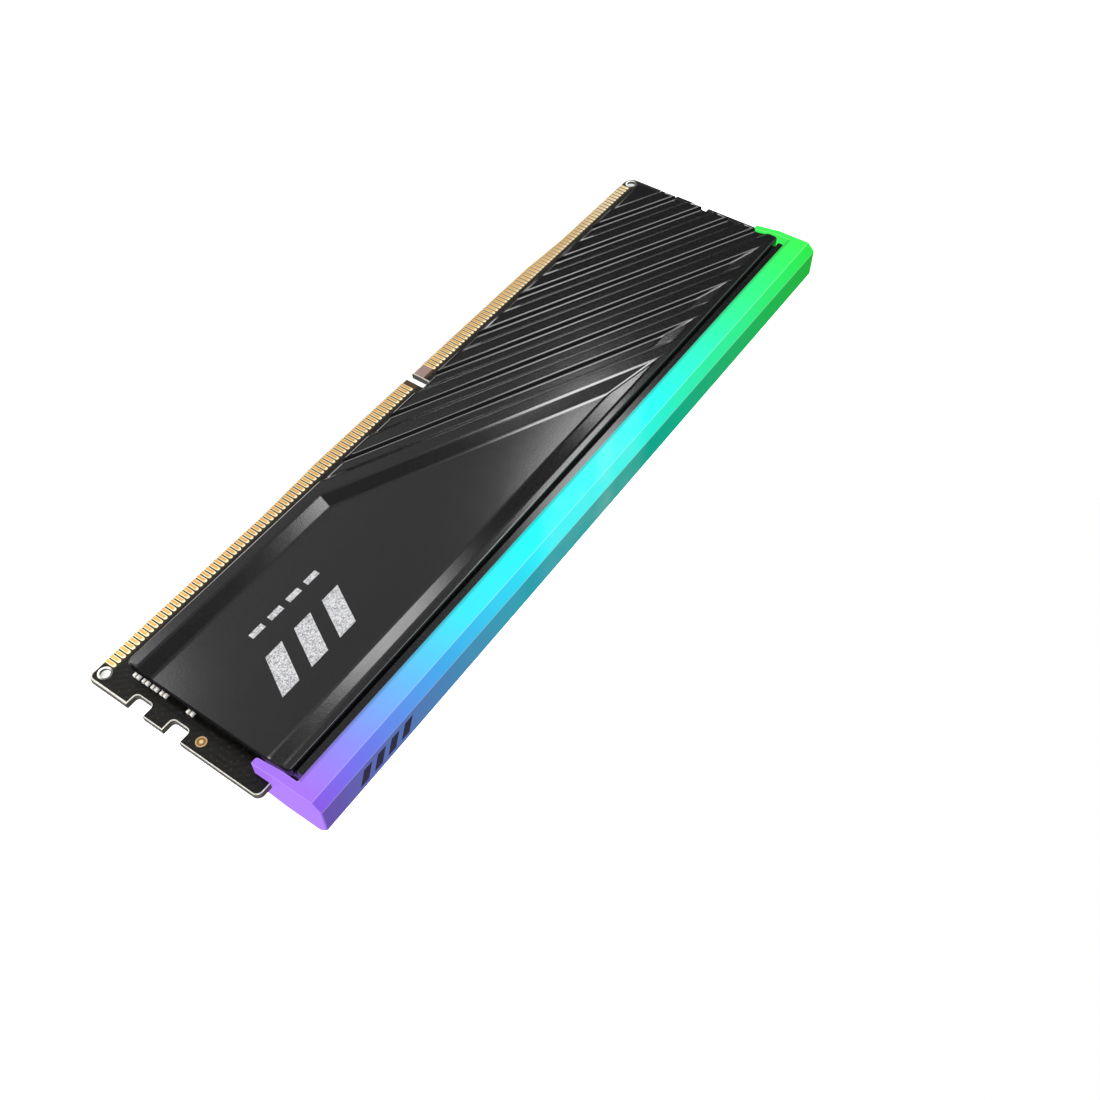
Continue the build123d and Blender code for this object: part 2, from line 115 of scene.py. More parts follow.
# ---- light bar colours along X, as (millimetres, sRGB) -----------------------------------------
COVER_FACE_COLOURS = (
    (-64, (62, 250, 88)),
    (-56, (54, 254, 112)),
    (-40, (52, 254, 164)),
    (-24, (48, 254, 226)),
    (-16, (44, 254, 246)),
    (16, (36, 254, 253)),
    (32, (64, 240, 254)),
    (40, (90, 211, 254)),
    (48, (117, 180, 253)),
    (56, (146, 146, 254)),
    (64, (174, 120, 250)),
)
COVER_CHAMFER_COLOURS = (
    (-64, (44, 238, 72)),
    (-48, (48, 239, 116)),
    (-24, (48, 240, 176)),
    (-8, (40, 244, 228)),
    (16, (42, 243, 248)),
    (24, (50, 217, 244)),
    (40, (68, 171, 237)),
    (56, (114, 119, 238)),
    (64, (140, 94, 236)),
)
COVER_TOP_COLOURS = (
    (-64, (32, 178, 56)),
    (-48, (28, 180, 80)),
    (-32, (30, 174, 108)),
    (-16, (10, 168, 136)),
    (0, (4, 156, 146)),
    (16, (24, 156, 165)),
    (24, (52, 159, 177)),
    (40, (72, 130, 180)),
    (64, (102, 78, 170)),
)


def linear(colour):
    """sRGB numbers from 0 to 255 as a linear colour with alpha."""
    parts = []
    for c in colour:
        v = c / 255
        parts.append(v / 12.92 if v <= 0.04045 else ((v + 0.055) / 1.055) ** 2.4)
    return (*parts, 1.0)


# ---- short calls for building node trees -------------------------------------------------------
class Tree:
    """One node tree.  A value given to an input is a number, a colour or another node's socket."""

    def __init__(self, tree):
        self.tree = tree
        self.tree.nodes.clear()

    def give(self, socket, value):
        if isinstance(value, bpy.types.NodeSocket):
            self.tree.links.new(value, socket)
        else:
            socket.default_value = value

    def add(self, kind, settings=(), **inputs):
        node = self.tree.nodes.new(kind)
        for name, value in dict(settings).items():
            setattr(node, name, value)
        for name, value in inputs.items():
            self.give(node.inputs[name.replace("_", " ")], value)
        return node

    def maths(self, operation, *values, clamp=False):
        node = self.tree.nodes.new("ShaderNodeMath")
        node.operation = operation
        node.use_clamp = clamp
        for socket, value in zip(node.inputs, values):
            self.give(socket, value)
        return node.outputs[0]

    def mix(self, share, first, second):
        node = self.tree.nodes.new("ShaderNodeMix")
        node.data_type = "RGBA"
        self.give(node.inputs[0], share)
        self.give(node.inputs[6], first)
        self.give(node.inputs[7], second)
        return node.outputs[2]

    def ramp(self, value, stops):
        """Colours along a value: stops are (position from 0 to 1, linear colour)."""
        node = self.tree.nodes.new("ShaderNodeValToRGB")
        elements = node.color_ramp.elements
        while len(elements) < len(stops):
            elements.new(0.5)
        for element, (place, colour) in zip(elements, stops):
            element.position = place
            element.color = colour
        self.give(node.inputs[0], value)
        return node.outputs[0]

    def step(self, value, low, high):
        """0 before low, 1 past high, smooth between.  Low may be the larger of the two."""
        node = self.tree.nodes.new("ShaderNodeMapRange")
        node.interpolation_type = "SMOOTHSTEP"
        for socket, number in zip(node.inputs, (value, low, high, 0.0, 1.0)):
            self.give(socket, number)
        return node.outputs[0]

    def band(self, value, low, high, soft):
        """1 between low and high, falling to 0 over soft on each side."""
        rise = self.step(value, low - soft, low + soft)
        fall = self.step(value, high - soft, high + soft)
        return self.maths("SUBTRACT", rise, fall)

    def place_mm(self):
        """The point's place in the piece's own frame, which is the CAD frame, in millimetres."""
        coords = self.add("ShaderNodeTexCoord").outputs["Object"]
        scaled = self.add("ShaderNodeVectorMath", {"operation": "SCALE"}, Scale=1 / MM)
        self.give(scaled.inputs[0], coords)
        return scaled.outputs[0]

    def axes(self, vector):
        """X, Y and Z of a vector."""
        return self.add("ShaderNodeSeparateXYZ", Vector=vector).outputs

    def facing(self):
        """X, Y and Z of the direction in which the surface faces."""
        return self.axes(self.add("ShaderNodeNewGeometry").outputs["Normal"])

    def noise(self, vector, scale, detail=2.0, rough=0.5):
        return self.add(
            "ShaderNodeTexNoise",
            Vector=vector,
            Scale=scale,
            Detail=detail,
            Roughness=rough,
        ).outputs[0]

    def bump(self, height, strength, depth_mm):
        depth = depth_mm * MM
        return self.add(
            "ShaderNodeBump",
            Strength=strength,
            Distance=depth,
            Height=height,
        ).outputs[0]

    def surface(self, **inputs):
        shader = self.add("ShaderNodeBsdfPrincipled", **inputs)
        self.add("ShaderNodeOutputMaterial", Surface=shader.outputs[0])


def new_material(name):
    material = bpy.data.materials.new(name)
    material.use_nodes = True
    return material, Tree(material.node_tree)


# ---- materials ---------------------------------------------------------------------------------
def anodised_material():
    """Black anodised aluminium over a fine blast: dark, satin, with a sparkling grain."""
    material, t = new_material("black_anodised")
    place = t.place_mm()
    grain = t.noise(place, 3.8, 2.0, 0.6)
    cloud = t.noise(place, 0.35, 3.0)
    colour = t.mix(grain, linear((7, 7, 8)), linear((19, 19, 19)))
    rough = t.maths("MULTIPLY_ADD", cloud, 0.04, 0.1)
    t.surface(
        Base_Color=colour,
        Metallic=0.0,
        Roughness=rough,
        Specular_IOR_Level=0.62,
        Normal=t.bump(grain, 0.32, 0.012),
    )
    return material


def board_face_material():
    """Black solder mask: fine routed copper and small vias show faintly through it."""
    material, t = new_material("solder_mask")
    place = t.place_mm()
    x, _, z = t.axes(place)
    slant = t.maths("ADD", x, z)
    routed = t.maths("PINGPONG", t.maths("MULTIPLY", slant, 1.6), 1.0)
    straight = t.maths("PINGPONG", t.maths("MULTIPLY", x, 2.35), 1.0)
    pick = t.step(t.noise(place, 0.32, 0.0), 0.45, 0.5)
    slanted = t.maths("MULTIPLY", routed, pick)
    upright = t.maths("MULTIPLY", straight, t.maths("SUBTRACT", 1.0, pick))
    copper = t.step(t.maths("ADD", slanted, upright), 0.45, 0.62)
    vias = t.add("ShaderNodeTexVoronoi", Vector=place, Scale=1.25, Randomness=0.55)
    via = t.step(vias.outputs["Distance"], 0.2, 0.14)
    relief = t.maths("SUBTRACT", t.maths("MULTIPLY", copper, 0.6), via)
    colour = t.mix(copper, linear((8, 8, 6)), linear((16, 15, 12)))
    colour = t.mix(t.maths("MULTIPLY", via, 0.8), colour, linear((38, 35, 28)))
    low_down = t.step(z, CONTACTS_Z + 0.4, CONTACTS_Z - 0.1)
    among = t.step(t.maths("ABSOLUTE", x), CONTACTS_X + 0.2, CONTACTS_X)
    colour = t.mix(t.maths("MULTIPLY", low_down, among), colour, linear((62, 46, 22)))
    across = t.band(x, *BARE_PATCH_X, 0.05)
    bare = t.maths("MULTIPLY", across, t.step(z, BARE_PATCH_Z, BARE_PATCH_Z - 0.1))
    cloth = t.noise(place, 3.0, 3.0)
    bare_colour = t.mix(cloth, linear((108, 88, 84)), linear((150, 126, 118)))
    t.surface(
        Base_Color=t.mix(bare, colour, bare_colour),
        Roughness=t.maths("MULTIPLY_ADD", t.noise(place, 2.0), 0.12, 0.34),
        Specular_IOR_Level=0.16,
        Normal=t.bump(relief, 0.6, 0.02),
    )
    return material


def board_wall_material():
    """Cut edge of the laminate: dark resin with fine layers of glass cloth."""
    material, t = new_material("laminate_edge")
    place = t.place_mm()
    _, y, _ = t.axes(place)
    layers = t.maths("PINGPONG", t.maths("MULTIPLY", y, 7.0), 1.0)
    weave = t.noise(place, 6.0, 3.0)
    colour = t.mix(layers, linear((20, 19, 16)), linear((44, 41, 33)))
    colour = t.mix(t.maths("MULTIPLY", weave, 0.4), colour, linear((70, 64, 48)))
    t.surface(Base_Color=colour, Roughness=0.6, Normal=t.bump(weave, 0.5, 0.03))
    return material


def board_rim_material():
    """Bare glass fibre along the very edge of the board, where the mask stops, with a painted
    highlight near both faces.
    """
    material, t = new_material("laminate_rim")
    place = t.place_mm()
    _, y, _ = t.axes(place)
    fibre = t.noise(place, 3.0, 3.0)
    # bare fibre colour, made pale as a painted highlight along the board's edge
    colour = t.mix(fibre, linear((150, 147, 141)), linear((226, 222, 214)))
    colour = t.mix(t.step(t.maths("ABSOLUTE", y), 0.54, 0.44), colour, linear((52, 49, 42)))
    t.surface(Base_Color=colour, Roughness=0.5, Normal=t.bump(fibre, 0.4, 0.02))
    return material


def gold_material():
    """Hard gold plating with fine drawn lines, a painted highlight on each contact's border and
    tip, and a painted reflection towards one end.
    """
    material, t = new_material("gold_plating")
    place = t.place_mm()
    x, _, z = t.axes(place)
    half = CONTACT_PITCH / 2
    start = 100 * CONTACT_PITCH + half
    right = t.maths("MODULO", t.maths("ADD", x, start - FIRST_CONTACT_X), CONTACT_PITCH)
    left = t.maths("MODULO", t.maths("ADD", x, start + FIRST_CONTACT_X), CONTACT_PITCH)
    on_right = t.step(x, ROWS_PART_X - 0.05, ROWS_PART_X + 0.05)
    right = t.maths("MULTIPLY", right, on_right)
    left = t.maths("MULTIPLY", left, t.maths("SUBTRACT", 1.0, on_right))
    off_centre = t.maths("ABSOLUTE", t.maths("SUBTRACT", t.maths("ADD", right, left), half))
    # painted highlight along each contact's rim and over its rounded tip
    border = t.maths("MAXIMUM", t.step(off_centre, *CONTACT_HIGHLIGHT_RIM), t.step(z, *CONTACT_HIGHLIGHT_TIP_Z))
    wear = t.noise(place, 1.4, 3.0)
    colour = t.mix(wear, linear((206, 156, 84)), linear((226, 180, 106)))
    # painted reflection: the gold turns pale towards the far end
    reflection_share = t.maths("MULTIPLY", t.step(x, *GOLD_REFLECTION_X), 0.6)
    colour = t.mix(reflection_share, colour, linear((250, 238, 200)))
    colour = t.mix(border, colour, linear((255, 240, 200)))
    stretched = t.add("ShaderNodeMapping", Vector=place, Scale=(9.0, 1.0, 0.8)).outputs[0]
    lines = t.noise(stretched, 2.0, 2.0)
    relief = t.maths("MULTIPLY_ADD", lines, 0.3, t.maths("MULTIPLY", border, -1.0))
    t.surface(
        Base_Color=colour,
        Metallic=0.85,
        Roughness=t.maths("MULTIPLY_ADD", wear, 0.15, 0.24),
        Normal=t.bump(relief, 0.5, 0.02),
    )
    return material


def test_pad_material():
    """Gold pad: dull, with a bright probe mark in its middle and a pale rim."""
    low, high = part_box("gold_test_pad")
    material, t = new_material("gold_test_pad")
    place = t.place_mm()
    x, _, z = t.axes(place)
    middle = (low + high) / 2 / MM
    off_x = t.maths("SUBTRACT", x, middle.x)
    off_z = t.maths("SUBTRACT", z, middle.z)
    squares = t.maths("MULTIPLY_ADD", off_x, off_x, t.maths("MULTIPLY", off_z, off_z))
    radius = t.maths("SQRT", squares)
    outer = (high.x - low.x) / 2 / MM
    wear = t.noise(place, 4.0, 3.0)
    colour = t.mix(wear, linear((84, 58, 34)), linear((150, 112, 70)))
    colour = t.mix(t.step(radius, outer * 0.72, outer * 0.86), colour, linear((178, 150, 104)))
    colour = t.mix(t.step(radius, outer * 0.4, outer * 0.3), colour, linear((206, 176, 120)))
    t.surface(
        Base_Color=colour,
        Metallic=0.6,
        Roughness=t.maths("MULTIPLY_ADD", wear, 0.2, 0.3),
        Normal=t.bump(wear, 0.5, 0.02),
    )
    return material


def hole_material():
    """Tinned rings with painted shade above and a painted highlight below, and a bore with painted
    shade near the front face and painted light behind.
    """
    material, t = new_material("tinned_hole")
    place = t.place_mm()
    _, y, z = t.axes(place)
    cloud = t.noise(place, 3.0, 3.0)
    on_face = t.step(t.maths("ABSOLUTE", t.facing()[1]), 0.4, 0.8)
    off_z = t.maths("SUBTRACT", z, HOLE_Z)
    # painted shade on the upper half of each ring, painted highlight on the lower half
    ring = t.mix(t.step(off_z, -0.5, 0.6), linear((238, 238, 226)), linear((60, 60, 58)))
    ring = t.mix(t.maths("MULTIPLY", cloud, 0.3), ring, linear((150, 150, 146)))
    # painted light at the back of the bore, painted shade near the board's front face
    bore = t.mix(t.step(y, *BORE_SHADE_Y), linear((250, 250, 248)), linear((18, 17, 16)))
    bore = t.mix(t.maths("MULTIPLY", cloud, 0.2), bore, linear((90, 88, 84)))
    t.surface(
        Base_Color=t.mix(on_face, bore, ring),
        Metallic=0.25,
        Roughness=t.maths("MULTIPLY_ADD", cloud, 0.2, 0.22),
        Normal=t.bump(cloud, 0.4, 0.02),
    )
    return material


def tin_material():
    """Bright tin on the ends of the capacitors, slightly uneven."""
    material, t = new_material("capacitor_tin")
    cloud = t.noise(t.place_mm(), 6.0, 3.0)
    t.surface(
        Base_Color=t.mix(cloud, linear((228, 226, 220)), linear((255, 254, 250))),
        Roughness=t.maths("MULTIPLY_ADD", cloud, 0.2, 0.22),
        Normal=t.bump(cloud, 0.4, 0.02),
    )
    return material


def moulded_material(name, dark, light, rough, scale, depth):
    """Moulded or soft material with a speckled surface."""
    material, t = new_material(name)
    place = t.place_mm()
    speck = t.noise(place, scale, 4.0, 0.65)
    blotch = t.noise(place, scale / 9, 2.0)
    colour = t.mix(t.step(speck, 0.35, 0.7), linear(dark), linear(light))
    t.surface(
        Base_Color=t.mix(t.maths("MULTIPLY", blotch, 0.35), colour, linear(dark)),
        Roughness=t.maths("MULTIPLY_ADD", speck, rough * 0.4, rough * 0.8),
        Normal=t.bump(speck, 0.5, depth),
    )
    return material


def cover_material(name, lift):
    """Frosted cover lit from inside.

    Its colour runs along X, and it is dimmer on the faces that look up.  Painted shade darkens its
    lower edge between the legs, and its rounded edges get a painted highlight.
    """
    material, t = new_material(name)
    place = t.place_mm()
    x, _, z = t.axes(place)
    along = t.maths("MULTIPLY_ADD", x, 1 / COVER_SPAN, 0.5, clamp=True)
    face, chamfer, top = (
        t.ramp(along, [(0.5 + mm / COVER_SPAN, linear(c)) for mm, c in colours])
        for colours in (COVER_FACE_COLOURS, COVER_CHAMFER_COLOURS, COVER_TOP_COLOURS)
    )
    up = t.facing()[2]
    glow = t.mix(t.step(up, 0.3, 0.6), face, chamfer)
    glow = t.mix(t.step(up, 0.8, 0.97), glow, top)
    slanted = t.maths("MULTIPLY_ADD", z, -1.6, x)
    streak = t.band(slanted, *COVER_STREAK_X, 3.0)
    second = t.band(slanted, *COVER_STREAK_CORE_X, 1.5)
    cloud = t.noise(place, 0.25, 2.0)
    streaks = t.maths("ADD", streak, second)
    pale = t.maths("MULTIPLY", streaks, t.maths("MULTIPLY", cloud, COVER_STREAK))
    # the pale streak, and on the rounded edges a painted highlight, lift the glow towards white
    glow = t.mix(t.maths("ADD", pale, lift), glow, linear((255, 255, 255)))
    # painted shade along the cover's lower edge between its legs
    middle = t.step(t.maths("ABSOLUTE", x), COVER_LEG_X + 0.1, COVER_LEG_X - 0.2)
    low_down = t.step(z, COVER_FOOT_SHADE_Z + 0.25, COVER_FOOT_SHADE_Z - 0.25)
    foot_shade = t.maths("MULTIPLY", low_down, t.maths("MULTIPLY", middle, 0.35))
    glow = t.mix(t.maths("MULTIPLY_ADD", cloud, 0.08, foot_shade), glow, linear((0, 0, 0)))
    grain = t.noise(place, 7.0, 2.0)
    t.surface(
        Base_Color=t.mix(0.97, glow, linear((0, 0, 0))),
        Roughness=t.maths("MULTIPLY_ADD", grain, 0.1, 0.45),
        Specular_IOR_Level=0.06,
        Emission_Color=glow,
        Emission_Strength=1.0,
        Normal=t.bump(grain, 0.2, 0.01),
    )
    return material


def print_material():
    """Silver screen print with a coarse metallic speckle."""
    material, t = new_material("silver_print")
    place = t.place_mm()
    flake = t.add("ShaderNodeTexVoronoi", Vector=place, Scale=7.0).outputs["Color"]
    shade = t.add("ShaderNodeSeparateColor", Color=flake).outputs[0]
    t.surface(
        Base_Color=t.mix(shade, linear((100, 100, 102)), linear((196, 196, 198))),
        Metallic=0.25,
        Roughness=0.45,
        Normal=t.bump(shade, 0.5, 0.02),
    )
    return material


def dark_print_material():
    """Dark smoked print on the light bar: a little of the light still passes."""
    material, t = new_material("smoked_print")
    place = t.place_mm()
    cloud = t.noise(place, 3.0, 2.0)
    t.surface(
        Base_Color=t.mix(cloud, linear((14, 14, 30)), linear((30, 30, 58))),
        Roughness=t.maths("MULTIPLY_ADD", cloud, 0.1, 0.4),
        Normal=t.bump(cloud, 0.3, 0.01),
    )
    return material


def label_material():
    """Dark printed film with a fine light frame, plain bars and stripes, and no lettering."""
    low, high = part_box("back_label")
    material, t = new_material("label_film")
    place = t.place_mm()
    x, _, z = t.axes(place)
    x0, x1, z0, z1 = (v / MM for v in (low.x, high.x, low.z, high.z))

    def inked(left, right, bottom, top):
        across = t.band(x, left, right, LABEL_SOFT)
        return t.maths("MULTIPLY", across, t.band(z, bottom, top, LABEL_SOFT))

    outer = LABEL_MARGIN
    inner = LABEL_MARGIN + LABEL_LINE
    ink = t.maths(
        "SUBTRACT",
        inked(x0 + outer, x1 - outer, z0 + outer, z1 - outer),
        inked(x0 + inner, x1 - inner, z0 + inner, z1 - inner),
    )
    for row, length in enumerate(LABEL_BARS):
        level = z1 - LABEL_BAR_DOWN - LABEL_BAR_PITCH * row
        end = x1 - LABEL_BAR_IN
        ink = t.maths("ADD", ink, inked(end - length, end, level - LABEL_BAR_T, level))
    random_x = t.noise(t.add("ShaderNodeCombineXYZ", X=x).outputs[0], 3.1, 1.0)
    stripes = t.maths("GREATER_THAN", random_x, 0.5)
    left, right = LABEL_STRIPES_IN
    bottom, top = LABEL_STRIPES_Z
    striped = inked(x0 + left, x1 - right, z0 + bottom, z0 + top)
    ink = t.maths("ADD", ink, t.maths("MULTIPLY", striped, stripes), clamp=True)
    t.surface(
        Base_Color=t.mix(ink, linear((38, 38, 41)), linear((196, 196, 198))),
        Roughness=t.maths("MULTIPLY_ADD", t.noise(place, 1.0), 0.1, 0.3),
        Normal=t.bump(t.noise(place, 4.0), 0.1, 0.01),
    )
    return material


def floor_material():
    material, t = new_material("pale_floor")
    place = t.place_mm()
    cloud = t.noise(place, 0.01)
    t.surface(
        Base_Color=t.mix(cloud, linear((240, 240, 240)), linear((246, 246, 246))),
        Roughness=0.9,
        Specular_IOR_Level=0.1,
        Emission_Color=linear((255, 255, 255)),
        Emission_Strength=FLOOR_GLOW,
    )
    return material


# ---- shaping helpers ---------------------------------------------------------------------------
def put(name, mesh, materials, slot, *nodes):
    """Link a finished mesh as one piece that rides on the module and stands for CAD nodes."""
    piece = bpy.data.objects.new(name, mesh)
    bpy.context.scene.collection.objects.link(piece)
    for material in materials:
        mesh.materials.append(material)
    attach(piece, "root")
    if nodes:
        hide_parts(*nodes)


def welded_copy(node):
    """A CAD node's shape as one welded mesh."""
    bm = bmesh.new()
    bm.from_mesh(frame["nodes"][node].data)
    bmesh.ops.remove_doubles(bm, verts=bm.verts, dist=WELD * MM)
    return bm


def clean_copy(node):
    """A CAD node's shape as one welded mesh whose flat faces are whole."""
    bm = welded_copy(node)
    flat = math.radians(FLAT_LIMIT)
    bmesh.ops.dissolve_limit(bm, angle_limit=flat, verts=bm.verts, edges=bm.edges)
    return bm


def sharp_edges(bm, least_angle):
    """Edges where two faces meet at more than an angle in degrees."""
    least = math.radians(least_angle)
    return [e for e in bm.edges if len(e.link_faces) == 2 and e.calc_face_angle() > least]


def rounded_edges(bm, edges, width, segments, material=-1):
    bmesh.ops.bevel(
        bm,
        geom=edges,
        offset=width * MM,
        offset_type="OFFSET",
        segments=segments,
        profile=0.5,
        affect="EDGES",
        clamp_overlap=False,
        material=material,
    )


def cut_border(bm, width):
    """Cut the mesh along its border, so that a corner of the outline cannot bend a long strip."""
    low = [min(v.co[i] for v in bm.verts) for i in range(3)]
    high = [max(v.co[i] for v in bm.verts) for i in range(3)]
    for axis in (0, 2):
        for place in (low[axis] + width * MM, high[axis] - width * MM):
            point = Vector()
            point[axis] = place
            direction = Vector()
            direction[axis] = 1.0
            everything = [*bm.verts, *bm.edges, *bm.faces]
            bmesh.ops.bisect_plane(bm, geom=everything, plane_co=point, plane_no=direction)


def is_narrow(face):
    """True for the thin strips that make up a rounded edge or a tight curve."""
    return 2 * face.calc_area() / face.calc_perimeter() < NARROW_STRIP * MM


def corner_normal(face, vert, narrow):
    """Shading normal of one corner.

    A wide face stays flat.  A long narrow strip takes the normal of the wide face beside it, or
    the average with the next strip, so a rounded edge blends from one wide face to the next.  The
    small faces of a rounded corner take the average of the narrow faces they meet.
    """
    if not narrow[face]:
        return face.normal.copy()
    limit = math.radians(ROUNDED_LIMIT)
    near = [other for other in vert.link_faces if other.normal.angle(face.normal, 0.0) < limit]
    beside = [edge for edge in face.edges if vert in edge.verts]
    longest = max(beside, key=lambda edge: edge.calc_length())
    if longest.calc_length() > LONG_STRIP * MM:
        across = [other for other in near if other in longest.link_faces and other is not face]
        near = [other for other in across if not narrow[other]] or [face, *across]
    else:
        near = [other for other in near if narrow[other]]
    return sum((other.normal for other in near), Vector()).normalized()


def finished_mesh(bm, name):
    """Write the bmesh to a new mesh with wide faces flat and rounded edges smooth."""
    bm.normal_update()
    narrow = {face: is_narrow(face) for face in bm.faces}
    normals = []
    for face in bm.faces:
        face.smooth = True
        for vert in face.verts:
            normals.append(corner_normal(face, vert, narrow))
    mesh = bpy.data.meshes.new(name)
    bm.to_mesh(mesh)
    bm.free()
    mesh.normals_split_custom_set(normals)
    return mesh


def finish_node(node, material):
    """Give a CAD node that stays as it is a better material."""
    data = frame["nodes"][node].data
    data.materials.clear()
    data.materials.append(material)


# ---- heat spreaders ----------------------------------------------------------------------------
def make_spreaders():
    material = anodised_material()
    for node in ("front_heat_spreader", "back_heat_spreader"):
        bm = clean_copy(node)
        cut_border(bm, RIM_WIDTH)
        bm.normal_update()
        edges = sharp_edges(bm, SPREADER_SHARP)
        edges = [e for e in edges if not any(is_narrow(f) for f in e.link_faces)]
        rounded_edges(bm, edges, SPREADER_ROUND, 4)
        mesh = finished_mesh(bm, node + "_mesh")
        put(node + "_finish", mesh, [material], "anodised_aluminium", node)


# ---- circuit board -----------------------------------------------------------------------------
def make_board():
    """The board in three materials: 0 the two faces, 1 the bare rim, 2 the cut walls."""
    bm = clean_copy("circuit_board")
    outline = []
    for edge in sharp_edges(bm, BOARD_SHARP):
        first, second = (vert.co.y for vert in edge.verts)
        if abs(abs(first) - abs(second)) < SAME_PLACE and first * second > 0:
            outline.append(edge)
    rounded_edges(bm, outline, BOARD_EDGE, 1, 1)
    bm.normal_update()
    for face in bm.faces:
        if face.material_index == 0 and abs(face.normal.y) < 0.5:
            face.material_index = 2
    mesh = finished_mesh(bm, "board_mesh")
    materials = [board_face_material(), board_rim_material(), board_wall_material()]
    put("circuit_board_finish", mesh, materials, "board_laminate", "circuit_board")


# ---- capacitors --------------------------------------------------------------------------------
def block(bm, low, high, material_index):
    """Add a box with its corners at low and high, with slightly rounded edges."""
    centre = (low + high) / 2
    size = high - low
    place = Matrix.Translation(centre) @ Matrix.Diagonal((*size, 1))
    made = bmesh.ops.create_cube(bm, size=1.0, matrix=place)
    faces = {f for v in made["verts"] for f in v.link_faces}
    edges = list({e for v in made["verts"] for e in v.link_edges})
    for face in faces:
        face.material_index = material_index
    rounding = bmesh.ops.bevel(
        bm,
        geom=edges,
        offset=CAP_ROUND * MM,
        segments=2,
        profile=0.5,
        affect="EDGES",
    )
    for face in rounding["faces"]:
        face.material_index = material_index


def solids_of(node):
    """Lowest and highest corner of each separate solid of a CAD node."""
    bm = welded_copy(node)
    left = set(bm.verts)
    boxes = []
    while left:
        stack = [left.pop()]
        found = []
        while stack:
            vert = stack.pop()
            found.append(vert.co.copy())
            for edge in vert.link_edges:
                other = edge.other_vert(vert)
                if other in left:
                    left.remove(other)
                    stack.append(other)
        low = Vector([min(c[i] for c in found) for i in range(3)])
        high = Vector([max(c[i] for c in found) for i in range(3)])
        boxes.append((low, high))
    bm.free()
    return sorted(boxes, key=lambda b: (b[0].x, b[0].z))


def make_capacitors():
    ceramic = ((122, 110, 96), (176, 160, 140))
    body = moulded_material("capacitor_ceramic", *ceramic, 0.45, 9.0, 0.01)
    tin = tin_material()
    for node in sorted(n for n in frame["nodes"] if "capacitors" in n):
        bm = bmesh.new()
        for low, high in solids_of(node):
            length = high.z - low.z
            inset = Vector((CAP_SWELL, 0, 0)) * MM
            lift = Vector((0, CAP_SWELL, 0)) * MM
            end = Vector((0, 0, length * TIN_SHARE))
            side = Vector((high.x, high.y, low.z))
            top = Vector((low.x, low.y, high.z))
            block(bm, low + inset + lift + end / 2, high - inset - end / 2, 0)
            block(bm, low, side + end, 1)
            block(bm, top - end, high, 1)
        mesh = finished_mesh(bm, node + "_mesh")
        put(node + "_finish", mesh, [body, tin], "ceramic_capacitor", node)


# ---- light bar ---------------------------------------------------------------------------------
def make_cover():
    bm = clean_copy("light_cover")
    rounded_edges(bm, sharp_edges(bm, COVER_SHARP), COVER_EDGE, 1, 1)
    mesh = finished_mesh(bm, "light_cover_mesh")
    # the rounded edges get a painted highlight: their glow is lifted towards white
    materials = [cover_material("lit_cover", 0.0), cover_material("cover_edge_highlight", 0.12)]
    put("light_cover_finish", mesh, materials, "milky_cover", "light_cover")


def make_cover_mark():
    """Slanted bars on the top of the light bar."""
    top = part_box("light_cover")[1].z / MM
    bm = bmesh.new()
    for n in range(COVER_MARK_BARS):
        x = COVER_MARK_X + n * COVER_MARK_PITCH
        outline = [
            (x, -COVER_MARK_HALF_Y),
            (x + COVER_MARK_W, -COVER_MARK_HALF_Y),
            (x + COVER_MARK_W + COVER_MARK_LEAN, COVER_MARK_HALF_Y),
            (x + COVER_MARK_LEAN, COVER_MARK_HALF_Y),
        ]
        verts = [bm.verts.new((px * MM, py * MM, top * MM)) for px, py in outline]
        made = bmesh.ops.extrude_face_region(bm, geom=[bm.faces.new(verts)])
        raised = [g for g in made["geom"] if isinstance(g, bmesh.types.BMVert)]
        bmesh.ops.translate(bm, verts=raised, vec=(0, 0, COVER_MARK_T * MM))
    bmesh.ops.recalc_face_normals(bm, faces=bm.faces)
    mesh = finished_mesh(bm, "cover_mark_mesh")
    put("cover_mark", mesh, [dark_print_material()], "silver_print")


# ---- CAD nodes that keep their shape -----------------------------------------------------------
# slot, name, darkest and lightest colour, roughness, and the speckle's scale and depth
MOULDED_LOOKS = (
    ("chip_package", "chip_epoxy", (22, 22, 24), (44, 44, 47), 0.5, 8.0, 0.015),
    ("coil_body", "pressed_iron", (62, 62, 66), (104, 104, 108), 0.55, 10.0, 0.03),
    ("thermal_pad", "soft_silicone", (96, 112, 128), (136, 150, 162), 0.6, 5.0, 0.04),
    ("foam_tape", "closed_cell_foam", (16, 16, 17), (40, 40, 42), 0.8, 6.0, 0.06),
    ("black_rail", "black_moulding", (10, 9, 9), (22, 20, 19), 0.13, 4.0, 0.006),
    ("clear_guide", "frosted_acrylic", (186, 196, 200), (226, 232, 236), 0.3, 3.0, 0.02),
    ("light_chip", "light_chip_body", (214, 210, 190), (244, 242, 226), 0.35, 6.0, 0.01),
)


def finish_kept_nodes():
    looks = {slot: moulded_material(*look) for slot, *look in MOULDED_LOOKS}
    looks["gold_plating"] = gold_material()
    looks["tinned_copper"] = hole_material()
    looks["silver_print"] = print_material()
    looks["label_film"] = label_material()
    for part in frame["record"]["subparts"]:
        if part["material_slot"] in looks:
            finish_node(part["node"], looks[part["material_slot"]])
    finish_node("gold_test_pad", test_pad_material())


